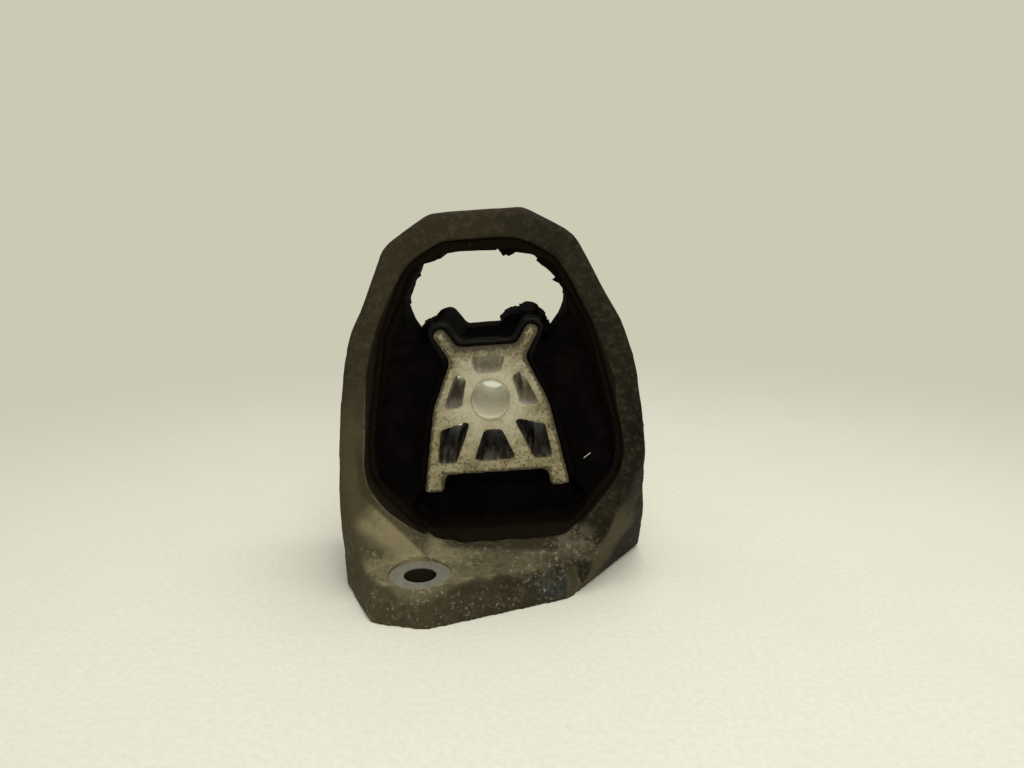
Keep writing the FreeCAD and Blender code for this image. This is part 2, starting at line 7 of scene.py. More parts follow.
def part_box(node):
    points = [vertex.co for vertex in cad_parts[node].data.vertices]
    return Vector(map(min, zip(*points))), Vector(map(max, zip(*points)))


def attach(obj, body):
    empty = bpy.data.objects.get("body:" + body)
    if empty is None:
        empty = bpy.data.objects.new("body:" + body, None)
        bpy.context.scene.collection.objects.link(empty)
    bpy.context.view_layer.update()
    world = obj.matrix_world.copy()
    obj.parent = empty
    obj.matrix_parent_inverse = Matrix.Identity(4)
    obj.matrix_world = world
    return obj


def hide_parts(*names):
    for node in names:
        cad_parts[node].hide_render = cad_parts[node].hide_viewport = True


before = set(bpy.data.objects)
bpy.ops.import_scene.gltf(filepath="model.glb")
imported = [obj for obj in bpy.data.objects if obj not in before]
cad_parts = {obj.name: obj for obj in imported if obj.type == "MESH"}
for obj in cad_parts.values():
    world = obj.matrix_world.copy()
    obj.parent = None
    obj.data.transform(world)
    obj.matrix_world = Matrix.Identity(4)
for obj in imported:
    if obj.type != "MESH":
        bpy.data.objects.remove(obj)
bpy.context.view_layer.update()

scene = bpy.context.scene
mm = 0.001
coarse = 1.0
print("frame loaded:", sorted(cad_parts))

# the ring, its opening and the core all lean together about the bore
lean = {"degrees": 4.0, "boreHeight": 79.0}
boreMiddle = Matrix.Translation((0, 0, lean["boreHeight"] * mm))
leanTurn = boreMiddle @ Matrix.Rotation(-math.radians(lean["degrees"]), 4, "Y")
leanBack = leanTurn.inverted()


def leaning(x, y, z):
    # a place given in the ring's own leaning frame, in millimetres
    return leanTurn @ Vector((x * mm, y * mm, z * mm))


def localPlace(place):
    # back from the room to the leaning frame, in millimetres
    back = leanBack @ place
    return back.x / mm, back.y / mm, back.z / mm


class Wire:
    # one output socket, so that sums of sockets read as sums
    def __init__(self, finish, socket):
        self.finish = finish
        self.socket = socket

    def __add__(self, other):
        return self.finish.math("ADD", self, other)

    def __radd__(self, other):
        return self.finish.math("ADD", other, self)

    def __sub__(self, other):
        return self.finish.math("SUBTRACT", self, other)

    def __rsub__(self, other):
        return self.finish.math("SUBTRACT", other, self)

    def __mul__(self, other):
        return self.finish.math("MULTIPLY", self, other)

    def __rmul__(self, other):
        return self.finish.math("MULTIPLY", other, self)

    def clamped(self):
        return self.finish.math("ADD", self, 0.0, clamp=True)

    def most(self, other):
        return self.finish.math("MAXIMUM", self, other)


class Finish:
    # the nodes of one material or world, and the few ways of adding to them
    def __init__(self, owner):
        owner.use_nodes = True
        self.owner = owner
        self.tree = owner.node_tree
        self.tree.nodes.clear()
        self.place = self.add("TexCoord", out="Object")

    def plug(self, value, socket):
        if isinstance(value, Wire):
            self.tree.links.new(value.socket, socket)
        else:
            socket.default_value = value

    def add(self, kind, settings=None, inputs=None, out=0):
        # any node: its type, its settings, the values or links of its sockets, and the output to use
        node = self.tree.nodes.new("ShaderNode" + kind)
        for name, value in (settings or {}).items():
            setattr(node, name, value)
        for name, value in (inputs or {}).items():
            self.plug(value, node.inputs[name])
        return Wire(self, node.outputs[out]) if node.outputs else None

    def math(self, operation, *values, clamp=False):
        return self.add("Math", {"operation": operation, "use_clamp": clamp}, dict(enumerate(values)))

    def vector(self, operation, *values, out=0):
        return self.add("VectorMath", {"operation": operation}, dict(enumerate(values)), out)

    def letter(self, vector, name):
        return self.add("SeparateXYZ", inputs={0: vector}, out="XYZ".index(name))

    def axis(self, name):
        # where a point lies along X, Y or Z, in metres
        return self.letter(self.place, name)

    def facing(self, name):
        # how far the surface looks towards +X, +Y or +Z
        return self.letter(self.add("NewGeometry", out="Normal"), name)

    def painted(self, name):
        # the number that paint() left on the piece
        return self.add("Attribute", {"attribute_name": name}, out="Fac")

    def grain(self, size, detail, rough, shift=0.0, where=None):
        # soft noise whose patches are about this many millimetres wide
        spot = where or self.place
        if shift:
            spot = self.vector("ADD", spot, (shift, shift * 0.7, -shift))
        return self.add("TexNoise", {}, {"Vector": spot, "Scale": 1.0 / (size * mm), "Detail": detail,
                                         "Roughness": rough})

    def between(self, value, low, high):
        # 0 at low, 1 at high, smooth between
        return self.add("MapRange", {"interpolation_type": "SMOOTHSTEP"},
                        {"Value": value, "From Min": low, "From Max": high})

    def across(self, value, low, high):
        # the same for a length, with its limits in millimetres
        return self.between(value, low * mm, high * mm)

    def blend(self, factor, first, second):
        # mixes two colours; the node itself keeps the factor from 0 to 1
        first, second = ((*tone, 1.0) if isinstance(tone, tuple) else tone for tone in (first, second))
        return self.add("Mix", {"data_type": "RGBA"}, {0: factor, 6: first, 7: second}, out=2)

    def away(self, centre, squash=(1.0, 1.0, 1.0)):
        # distance in millimetres from a place, each axis weighted
        spot = self.vector("SUBTRACT", self.place, tuple(c * mm for c in centre))
        spot = self.vector("MULTIPLY", spot, tuple(s / mm for s in squash))
        return self.vector("LENGTH", spot, out="Value")

    def bump(self, height, depth, strength, under=None):
        inputs = {"Height": height, "Distance": depth * mm, "Strength": strength}
        if under:
            inputs["Normal"] = under
        return self.add("Bump", {}, inputs)

    def stroke(self, ends, width):
        # 1 along a straight line between two places, gone at this distance from it, in millimetres
        start, end = (Vector(place) * mm for place in ends)
        heading = (end - start).normalized()
        middle, half = (start + end) / 2, (end - start).length / 2
        spot = self.vector("SUBTRACT", self.place, middle[:])
        run = self.vector("DOT_PRODUCT", spot, heading[:], out="Value")
        reach = self.vector("LENGTH", spot, out="Value")
        off = self.math("SQRT", (reach * reach - run * run).most(0.0))
        beside = self.between(self.math("ABSOLUTE", run), half + width * 0.5 * mm, half - width * 0.2 * mm)
        return beside * self.across(off, width, width * 0.35)

    def end(self, shader, kind="Material"):
        self.add("Output" + kind, {}, {"Surface": shader})

    def close(self, sockets):
        self.end(self.add("BsdfPrincipled", {}, sockets))
        return self.owner


def linked(name, data):
    holder = bpy.data.objects.new(name, data)
    scene.collection.objects.link(holder)
    return holder


def mergedCopy(node, name):
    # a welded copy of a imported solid, to be worked further
    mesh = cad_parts[node].data.copy()
    mesh.name = name
    mesh.materials.clear()
    bm = bmesh.new()
    bm.from_mesh(mesh)
    bmesh.ops.remove_doubles(bm, verts=bm.verts, dist=0.002 * mm)
    bmesh.ops.recalc_face_normals(bm, faces=bm.faces)
    bm.to_mesh(mesh)
    bm.free()
    return linked(name, mesh)


def newPiece(name, bm):
    mesh = bpy.data.meshes.new(name)
    bm.to_mesh(mesh)
    bm.free()
    return linked(name, mesh)


def addRound(bm, radius, length, middle, sides):
    bmesh.ops.create_cone(bm, cap_ends=True, segments=sides, radius1=radius * mm, radius2=radius * mm,
                          depth=length * mm, matrix=middle)


def addBar(bm, radius, low, high, centre, sides=64):
    # upright round bar, in millimetres
    middle = Matrix.Translation((centre[0] * mm, centre[1] * mm, (low + high) / 2 * mm))
    addRound(bm, radius, high - low, middle, sides)


def addBorePin(bm, radius, length, sides=64):
    # round bar along the bore, in millimetres
    addRound(bm, radius, length, boreMiddle @ Matrix.Rotation(math.radians(90), 4, "X"), sides)


def addSlab(bm, corners, front, back):
    # flat outline in the leaning frame, pushed through from front to back
    face = bm.faces.new([bm.verts.new(leaning(x, front, z)) for x, z in corners])
    pushed = bmesh.ops.extrude_face_region(bm, geom=[face])
    moved = [part for part in pushed["geom"] if isinstance(part, bmesh.types.BMVert)]
    bmesh.ops.translate(bm, verts=moved, vec=(0, (back - front) * mm, 0))
    bmesh.ops.recalc_face_normals(bm, faces=bm.faces)


def bake(piece):
    # leaves the modified shape in the mesh and takes the modifiers off
    graph = bpy.context.evaluated_depsgraph_get()
    mesh = bpy.data.meshes.new_from_object(piece.evaluated_get(graph))
    old = piece.data
    piece.modifiers.clear()
    piece.data = mesh
    bpy.data.meshes.remove(old)
    mesh.name = piece.name


def fuse(piece, voxel, smoothing):
    # one even skin over everything in the piece, then eased all over
    remesh = piece.modifiers.new("skin", "REMESH")
    remesh.mode = "VOXEL"
    remesh.voxel_size = voxel * coarse * mm
    remesh.adaptivity = 0.0
    ease = piece.modifiers.new("ease", "SMOOTH")
    ease.iterations = smoothing
    ease.factor = 0.5
    bake(piece)


def combine(piece, name, bm, operation="DIFFERENCE"):
    # takes a second shape from the piece, or joins it on
    tool = newPiece(name, bm)
    joint = piece.modifiers.new("joint", "BOOLEAN")
    joint.operation = operation
    joint.solver = "EXACT"
    joint.object = tool
    bake(piece)
    bpy.data.objects.remove(tool)


def dropCrumbs(piece):
    # keeps only the largest connected shell
    bm = bmesh.new()
    bm.from_mesh(piece.data)
    waiting = set(bm.verts)
    shells = []
    while waiting:
        shell, edge = set(), {waiting.pop()}
        while edge:
            shell |= edge
            edge = {other for v in edge for link in v.link_edges for other in link.verts} - shell
        waiting -= shell
        shells.append(shell)
    shells.sort(key=len)
    bmesh.ops.delete(bm, geom=[v for shell in shells[:-1] for v in shell], context="VERTS")
    bm.to_mesh(piece.data)
    bm.free()


def reshape(piece, move):
    # moves every vertex by what move(place, normal) gives, both in metres
    bm = bmesh.new()
    bm.from_mesh(piece.data)
    bm.normal_update()
    shifts = [move(v.co, v.normal) for v in bm.verts]
    for v, shift in zip(bm.verts, shifts):
        v.co += shift
    bm.to_mesh(piece.data)
    bm.free()


def easeWhere(piece, chosen, passes):
    # smooths only the vertices that chosen(place) picks
    bm = bmesh.new()
    bm.from_mesh(piece.data)
    verts = [v for v in bm.verts if chosen(v.co)]
    for _ in range(max(1, round(passes / coarse ** 2))):
        bmesh.ops.smooth_vert(bm, verts=verts, factor=0.5, use_axis_x=True, use_axis_y=True, use_axis_z=True)
    bm.to_mesh(piece.data)
    bm.free()


def paint(piece, name, rule):
    # a number from 0 to 1 kept on every vertex, for the material to read
    layer = piece.data.attributes.new(name, "FLOAT", "POINT")
    layer.data.foreach_set("value", [rule(v.co) for v in piece.data.vertices])


def ramp(value, low, high):
    # 0 at low, 1 at high, smooth between
    t = min(1.0, max(0.0, (value - low) / (high - low)))
    return t * t * (3.0 - 2.0 * t)


def along(stops, value):
    # the value read off a list of (position, value) stops
    if value <= stops[0][0]:
        return stops[0][1]
    for (low, first), (high, second) in zip(stops, stops[1:]):
        if value <= high:
            return first + (second - first) * (value - low) / (high - low)
    return stops[-1][1]


def lump(place, size, shift=0.0):
    # noise from -1 to 1 whose bumps are about this many millimetres wide
    return noise.noise(place / (size * mm) + Vector((shift, -shift, 2 * shift)))


def neighbours(corners):
    # each corner of a closed outline with the next one
    return zip(corners, corners[1:] + corners[:1])


def outlineGap(x, z, corners):
    # shortest distance in millimetres from a place to a closed outline
    spot = Vector((x, z))
    best = 1e9
    for first, second in neighbours(corners):
        start, end = Vector(first), Vector(second)
        run = end - start
        t = min(1.0, max(0.0, (spot - start).dot(run) / run.length_squared))
        best = min(best, (spot - start - run * t).length)
    return best


def rounded(corners, reach, steps=5):
    # the outline with every corner drawn as a curve that starts this far before it, in millimetres
    result = []
    for before, (corner, after) in zip(corners[-1:] + corners[:-1], neighbours(corners)):
        middle = Vector(corner)
        start, end = (middle + (Vector(other) - middle) * min(0.49, reach / (Vector(other) - middle).length)
                      for other in (before, after))
        for number in range(steps + 1):
            t = number / steps
            result.append(tuple(start * (1 - t) ** 2 + middle * 2 * t * (1 - t) + end * t ** 2))
    return result


def within(x, z, corners):
    # whether a place lies inside a convex outline
    turns = [(bx - ax) * (z - az) - (bz - az) * (x - ax) for (ax, az), (bx, bz) in neighbours(corners)]
    return min(turns) > 0 or max(turns) < 0


def inLimits(place, limits):
    # whether a place lies inside limits of x, y and z in millimetres
    return all(low < value < high for value, (low, high) in zip(place / mm, limits))


def bothSides(corners):
    return corners + [(-x, z) for x, z in reversed(corners)]


def settle(piece, node, material):
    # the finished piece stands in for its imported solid
    piece.data.shade_smooth()
    piece.data.set_sharp_from_angle(angle=math.radians(35))
    piece.data.materials.clear()
    piece.data.materials.append(material)
    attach(piece, "root")
    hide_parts(node)
    print(piece.name, "has", len(piece.data.polygons), "faces")


# the bracket: a cast ring on a bolted foot, lengths in millimetres
openingOutline = bothSides([(14, 60.3), (28.3, 52), (40.4, 26), (49.3, -16), (49.3, -31.5), (27, -57.7)])

bracketValues = {
    "voxel": 1.15,
    "smoothing": 4,           # passes over the whole piece
    "boltCentres": [(-26.8, -42.4), (50.5, 44.6)],
    "spotRadius": 12.0,
    "spotLevel": 14.2,
    "spotStock": 0.6,         # cast round each spot face before it is cut
    "spotReach": 9.0,         # how far above its level each spot face is cut free
    "holeRadius": 6.25,
    "holeReach": 10.0,
    "footTop": 15.0,
    # corners that are eased: limits of x, y and z
    "frontCorner": ((-70, 30), (-41, -23.5), (11, 55)),
    "rearCorner": ((-70, 70), (24.5, 33), (10, 24)),
    "trimmedCorner": ((18, 70), (-70, -16), (9, 68)),
    "trimmedGap": 3.0,        # how near the opening the trimmed corner is left alone
    "edgeWidth": 3.2,         # how much of the face round the opening is eased
    "frontPasses": 24,
    "rearPasses": 16,
    "trimmedPasses": 24,
    "edgePasses": 6,
    # the cast skin
    "waviness": 0.30,
    "wavePatch": 11.0,
    "pockDepth": 0.2,
    "pockSize": 3.2,
    "regain": 0.45,           # given back to the outside after the easing
    # how far the ring's sides swell past their flat facets, at each height
    "leftSwell": [(6, 0.5), (33, 0.9), (60, 1.8), (80, 2.3), (93, 1.8), (104, 0.5), (112, 0.0)],
    "rightSwell": [(6, 0.7), (21, 0.9), (34, -0.3), (47, -0.8), (60, -0.5), (70, -0.9), (78, 0.2), (87, 1.2),
                   (96, 1.5), (106, 0.6), (115, 0.0)],
    # how far the rubber's skin laps over the opening's edge, at each height
    "skinLeft": [(21, 0.4), (26, 1.4), (33, 2.8), (45, 2.6), (58, 1.4), (68, 1.5), (78, 2.4), (88, 3.3),
                 (100, 2.7), (112, 2.0), (125, 0.9)],
    "skinRight": [(21, 0.4), (35, 1.0), (50, 1.0), (67, 0.8), (77, 1.2), (87, 3.0), (98, 1.8), (105, 1.3),
                  (120, 0.9)],
    "skinRound": 11.0,
    # marks: places of x, y and z
    "flankLine": ((-46.5, -31, 34), (-27, -33, 17)),
    "flankWidth": 10.5,
    "rubbedPlace": (32, -26, 24),
    "verdigrisPlace": (28, -42, 7),
    # colours
    "ringColour": (0.030, 0.0245, 0.0125),
    # dark brown of the film patches and of the painted shade on the ring's right side
    "darkFilmAndShadeColour": (0.0055, 0.0044, 0.0028),
    "gritColour": (0.085, 0.072, 0.041),
    "sandColour": (0.02, 0.016, 0.009),
    "flankColour": (0.066, 0.055, 0.029),
    "footColour": (0.205, 0.180, 0.098),
    "paleColour": (0.230, 0.196, 0.104),
    "edgeColour": (0.036, 0.030, 0.014),
    "rubbedColour": (0.105, 0.090, 0.060),
    # painted shade below the rubber's lip
    "underLipShadeColour": (0.026, 0.021, 0.0105),
    "skinColour": (0.0062, 0.0040, 0.0018),
    "seamColour": (0.150, 0.132, 0.085),
    "saltColour": (0.33, 0.31, 0.215),
    "bloomColour": (0.20, 0.18, 0.115),
    "verdigrisColour": (0.03, 0.055, 0.075),
    "borderColour": (0.200, 0.185, 0.125),
    "spotColour": (0.330, 0.318, 0.262),
    "spotStain": (0.13, 0.128, 0.11),
    # painted shade inside the bolt holes
    "holeShadeColour": (0.016, 0.0125, 0.007),
}


def openingGap(place):
    x, y, z = localPlace(place)
    return outlineGap(x, z, openingOutline)


def drill(piece, name, radius, low, high, centre, sides):
    bm = bmesh.new()
    addBar(bm, radius, low, high, centre, sides)
    combine(piece, name, bm)


def bracketShape():
    values = bracketValues
    piece = mergedCopy("bracket_casting", "bracket")
    bm = bmesh.new()
    bm.from_mesh(piece.data)
    for centre in values["boltCentres"]:
        addBar(bm, values["spotRadius"] + values["spotStock"], 1.0, values["footTop"], centre)
    bm.to_mesh(piece.data)
    bm.free()
    fuse(piece, values["voxel"], values["smoothing"])

    def frontCorner(place):
        # where the ring's face runs down into the front ear and the gusset
        return inLimits(place, values["frontCorner"])

    def rearCorner(place):
        return inLimits(place, values["rearCorner"])

    def trimmedCorner(place):
        # the trimmed lower right runs softly into the ring's face
        return inLimits(place, values["trimmedCorner"]) and openingGap(place) > values["trimmedGap"]

    def openingCorner(place):
        x, y, z = localPlace(place)
        return y < -20 and z > -40 and outlineGap(x, z, openingOutline) < values["edgeWidth"]

    easeWhere(piece, frontCorner, values["frontPasses"])
    easeWhere(piece, rearCorner, values["rearPasses"])
    easeWhere(piece, trimmedCorner, values["trimmedPasses"])
    easeWhere(piece, openingCorner, values["edgePasses"])
    lowest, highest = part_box("bracket_casting")

    def wave(place, normal):
        # the cast skin's unevenness and the swell of the sides, never past the solid's own box
        if place.z < 1.5 * mm:
            return Vector((0, 0, 0))
        height = place.z / mm
        slow = min(0.0, lump(place, values["wavePatch"]) - 0.2)
        pocks = min(0.0, lump(place, values["pockSize"], 4.0) + 0.15)
        pocks = pocks * values["pockDepth"] * ramp(height, 4.0, 12.0)
        shift = normal * (slow * values["waviness"] + pocks) * mm
        outside = ramp(openingGap(place), 3.0, 8.0)
        across = outside * ramp(height, 14.0, 30.0) * (1.0 - ramp(height, 104.0, 120.0))
        shift += Vector((normal.x, 0, normal.z)) * values["regain"] * across * mm
        swell = -along(values["leftSwell"], height) if place.x < 0 else along(values["rightSwell"], height)
        nearFront = 1.0 - ramp(place.y / mm, 20.0, 30.0)
        shift += Vector((swell * outside * nearFront * ramp(abs(place.x) / mm, 36.0, 48.0) * mm, 0, 0))
        moved = place + shift
        return Vector([min(max(moved[i], lowest[i]), highest[i]) - place[i] for i in range(3)])

    reshape(piece, wave)
    spot, level = values["spotRadius"], values["spotLevel"]
    for centre in values["boltCentres"]:
        drill(piece, "spotCutter", spot, level, level + values["spotReach"], centre, 96)
        drill(piece, "holeCutter", values["holeRadius"], -5.0, level + values["holeReach"], centre, 72)

    def openingEdge(place):
        x, y, z = localPlace(place)
        return (1.0 - ramp(outlineGap(x, z, openingOutline), 3.2, 6.2)) * (1.0 - ramp(y, -24.0, -20.0))

    softOutline = rounded(openingOutline, values["skinRound"])

    def rubberSkin(place):
        # 0.5 where the rubber's skin over the opening's edge ends, changing evenly to either side
        x, y, z = localPlace(place)
        if y > -20.0:
            return 0.0
        gap = outlineGap(x, z, softOutline) * (-1.0 if within(x, z, softOutline) else 1.0)
        right = ramp(x, -20.0, 20.0)
        height = place.z / mm
        reach = along(values["skinLeft"], height) * (1.0 - right) + along(values["skinRight"], height) * right
        return min(1.0, max(0.0, 0.5 + (reach - gap) / 8.0))

    paint(piece, "edge", openingEdge)
    paint(piece, "skin", rubberSkin)
    return piece


def castFinish():
    values = bracketValues
    finish = Finish(bpy.data.materials.new("dirtyCasting"))
    between, across = finish.between, finish.across
    up = between(finish.facing("Z"), 0.2, 0.95)
    side, depth, height = finish.axis("X"), finish.axis("Y"), finish.axis("Z")
    patch = finish.grain(17.0, 5.0, 0.6)
    grit = finish.grain(2.6, 6.0, 0.75, shift=0.3)
    sand = finish.grain(0.9, 3.0, 0.6, shift=0.7)

    # brown film in patches, and painted shade that darkens the ring towards the right
    filmAndRightShade = across(side, -30, 62) * 0.75 + between(patch, 0.4, 0.7) * 0.3
    colour = finish.blend(filmAndRightShade, values["ringColour"], values["darkFilmAndShadeColour"])
    colour = finish.blend(between(grit, 0.46, 0.72) * 0.38, colour, values["gritColour"])
    colour = finish.blend(between(sand, 0.5, 0.72) * 0.3, colour, values["sandColour"])

    # the lower left and the foot's front are paler; the trimmed right side gets a painted highlight where it faces
    # right
    lowLeft = across(height, 92, 60) * across(side, -20, -50) * 1.2
    drift = (patch - 0.5) * 40 * mm
    # painted light: the trimmed facet is paler where it faces right
    litTrimmedSide = across(side, 26, 34) * across(depth + drift, -4, -20)
    litTrimmedSide = litTrimmedSide * across(height + drift, 44, 26) * between(finish.facing("X"), 0.25, 0.6) * 1.35
    footFace = across(height, 19, 13) * across(depth, -24, -30) * 0.55
    footFace = footFace * (1.0 - across(side, -24, -6) * 0.6)
    paler = lowLeft.most(litTrimmedSide).most(footFace) * (grit * 0.6 + 0.5)
    colour = finish.blend(paler * 0.85, colour, values["flankColour"])

    # dust on the foot's upper side, thinner towards the right, and painted light round the bolt that brightens the
    # shaded wall of its spot face
    low = 1.0 - across(height, 17, 36)
    dust = (up * low * (between(grit, 0.3, 0.6) * 0.55 + between(patch, 0.3, 0.6) * 0.45)).clamped()
    dust = dust * (1.0 - across(side, -16, 6) * 0.52)
    # painted light near the bolt here; the salt below uses the same ring
    boltLightAndSalt = 1.0 - between(finish.away((*values["boltCentres"][0], 14.5)), 12.3, 15.0)
    colour = finish.blend(dust.most(boltLightAndSalt * 0.4), colour, values["footColour"])

    # smooth paler flank between the ring's corner and the foot
    flank = finish.stroke(values["flankLine"], values["flankWidth"])
    flank = flank * between(patch * 0.5 + grit * 0.5, 0.2, 0.55)
    colour = finish.blend(flank * 0.9, colour, values["paleColour"])

    # darker along the opening's lower left, paler where the trimmed side meets the foot
    edge = between(finish.painted("edge") + (grit - 0.5) * 0.5, 0.15, 0.75)
    edge = edge * across(side, -22, -28) * across(height, 70, 50)
    colour = finish.blend(edge * 0.8, colour, values["edgeColour"])
    rubbed = 1.0 - between(finish.away(values["rubbedPlace"], (1.0, 1.0, 1.2)), 3.0, 11.0)
    colour = finish.blend(rubbed * between(grit, 0.34, 0.6) * 0.7, colour, values["rubbedColour"])

    # painted shade: a dark band just below the rubber's lip
    darkPatch = across(height, 17.2, 19.4) * across(height, 25, 23)
    darkPatch = darkPatch * across(depth, -30.5, -28.5) * across(depth, -20, -24)
    darkPatch = darkPatch * across(side, -22, -15) * across(side, 29, 24)
    colour = finish.blend(darkPatch * (grit * 0.6 + 0.6), colour, values["underLipShadeColour"])

    # the rubber's skin over the opening's edge, and the pale seam along it
    skin = finish.painted("skin") + (patch - 0.5) * 0.08
    colour = finish.blend(between(skin, 0.46, 0.54) * 0.93, colour, values["skinColour"])
    seam = between(skin, 0.435, 0.455) * between(skin, 0.50, 0.475) * across(height, 96, 60)
    seam = seam * (across(side, 10, -30) * 0.42 + 0.13) * between(grit, 0.38, 0.56)
    colour = finish.blend(seam, colour, values["seamColour"])

    # salt: fine irregular flecks in clusters, thick low down and round the bolt
    front = 1.0 - across(depth, -28, -22)
    flecks = between(finish.grain(1.5, 6.0, 0.72, shift=1.1), 0.54, 0.67)
    clusters = between(finish.grain(10.0, 4.0, 0.65, shift=1.7), 0.42, 0.60)
    right = across(side, 5, 45) * low
    salt = (flecks * (clusters * (low + right * 0.5 + 0.05) + boltLightAndSalt * 0.8) * front).clamped() * 0.68
    colour = finish.blend(salt, colour, values["saltColour"])
    bloom = between(finish.grain(5.0, 6.0, 0.7, shift=2.9), 0.52, 0.74) * low * 0.42
    colour = finish.blend(bloom, colour, values["bloomColour"])

    # faint verdigris at the foot's right end
    verdigris = 1.0 - between(finish.away(values["verdigrisPlace"], (0.8, 0.7, 1.2)), 2.0, 12.0)
    colour = finish.blend(verdigris * between(grit, 0.45, 0.62) * 0.8, colour, values["verdigrisColour"])

    # machined spot faces, and painted shade inside the bolt holes
    spot, clean = values["spotRadius"], None
    for x, y in values["boltCentres"]:
        reach = finish.away((x, y, values["spotLevel"]), (1.0, 1.0, 30.0))
        border = 1.0 - between(reach, spot - 0.2, spot + 0.4)
        colour = finish.blend(border * 0.7, colour, values["borderColour"])
        here = 1.0 - between(reach + (grit - 0.5) * 1.4, spot - 1.3, spot - 0.7)
        clean = here if clean is None else clean.most(here)
    clean = (clean * (between(grit, 0.2, 0.5) * 0.25 + 0.75)).clamped()
    tone = finish.blend(between(grit, 0.4, 0.7) * 0.5, values["spotColour"], values["spotStain"])
    colour = finish.blend(clean, colour, tone)
    # painted shade on the walls of the bolt holes
    for x, y in values["boltCentres"]:
        reach = finish.away((x, y, 0.0), (1.0, 1.0, 0.0))
        holeShade = between(reach, 6.7, 6.3) * across(height, 14.1, 13.6)
        colour = finish.blend(holeShade, colour, values["holeShadeColour"])

    rough = 0.80 - clean * 0.32 - filmAndRightShade * 0.12 + (sand - 0.5) * 0.2
    relief = finish.bump(grit, 0.28, 0.6, under=finish.bump(sand, 0.10, 0.8))
    return finish.close({"Base Color": colour, "Roughness": rough.clamped(), "Metallic": clean * 0.5,
                         "Normal": relief, "Specular IOR Level": 0.06})


# the core: a horned casting round the bore, lengths in millimetres
coreOutline = bothSides([(11.2, 20.8), (16.1, 28.4), (20.9, 26.8), (14.3, 15.6), (22.4, -2.5), (28.6, -36),
                         (21, -36), (20.2, -29.2)])

coreValues = {
    "voxel": 0.66,
    "smoothing": 5,           # passes over the whole piece
    "boreRadius": 7.25,
    "boreFill": 0.5,          # how much wider than the bore it is filled before the skin is made
    "boreCut": 80.0,          # length of the bar that cuts the bore
    "depth": 53.0,
    "waviness": 0.16,
    "wavePatch": 6.0,
    "pitDepth": 0.24,
    "pitSize": 1.8,
    "draft": 1.3,             # how far the low pockets' walls lean in
    "draftBelow": 4.0,        # height over the bore below which they do
    "baseColour": (0.240, 0.203, 0.103),
    "cleanColour": (0.415, 0.380, 0.265),
    "filmColour": (0.105, 0.086, 0.040),
    "grimeColour": (0.036, 0.028, 0.013),
    # painted light and reflection on the bore's walls
    "boreLightColour": (0.90, 0.86, 0.72),
    # pocket walls: painted shade for the low ones, painted light and reflection for the high ones
    "shadedLowWalls": ((0.022, 0.016, 0.010), (0.20, 0.17, 0.13)),
    "litHighWalls": ((0.66, 0.61, 0.50), (0.95, 0.91, 0.78)),
}


def coreShape():
    values = coreValues
    piece = mergedCopy("core_casting", "core")
    bm = bmesh.new()
    bm.from_mesh(piece.data)
    addBorePin(bm, values["boreRadius"] + values["boreFill"], values["depth"])
    bm.to_mesh(piece.data)
    bm.free()
    fuse(piece, values["voxel"], values["smoothing"])

    def wave(place, normal):
        slow = min(0.0, lump(place, values["wavePatch"]) - 0.2)
        pits = min(0.0, lump(place, values["pitSize"], 3.0) + 0.25)
        shift = normal * (slow * values["waviness"] + pits * values["pitDepth"]) * mm
        # the low pockets' walls lean in towards mid-depth, as a die leaves them
        x, y, z = localPlace(place)
        wall = abs(normal.y) < 0.5 and math.hypot(x, z) > 8.6 and outlineGap(x, z, coreOutline) > 1.6
        if wall and z < values["draftBelow"]:
            shift += Vector((normal.x, 0, normal.z)) * values["draft"] * ramp(y, -27.0, 4.0) * mm
        return shift

    reshape(piece, wave)
    bm = bmesh.new()
    addBorePin(bm, values["boreRadius"], values["boreCut"], sides=96)
    combine(piece, "boreCutter", bm)

    def edgeGrime(place):
        x, y, z = localPlace(place)
        return 1.0 - ramp(outlineGap(x, z, coreOutline), 0.4, 2.6 + ramp(z, 8.0, 18.0))

    def webGrime(place):
        x, y, z = localPlace(place)
        return ramp(z, 12.0, 18.5) * (1.0 - ramp(z, 23.0, 28.5 if x < 0 else 25.0)) * 0.78

    paint(piece, "grime", edgeGrime)
    paint(piece, "web", webGrime)
    return piece


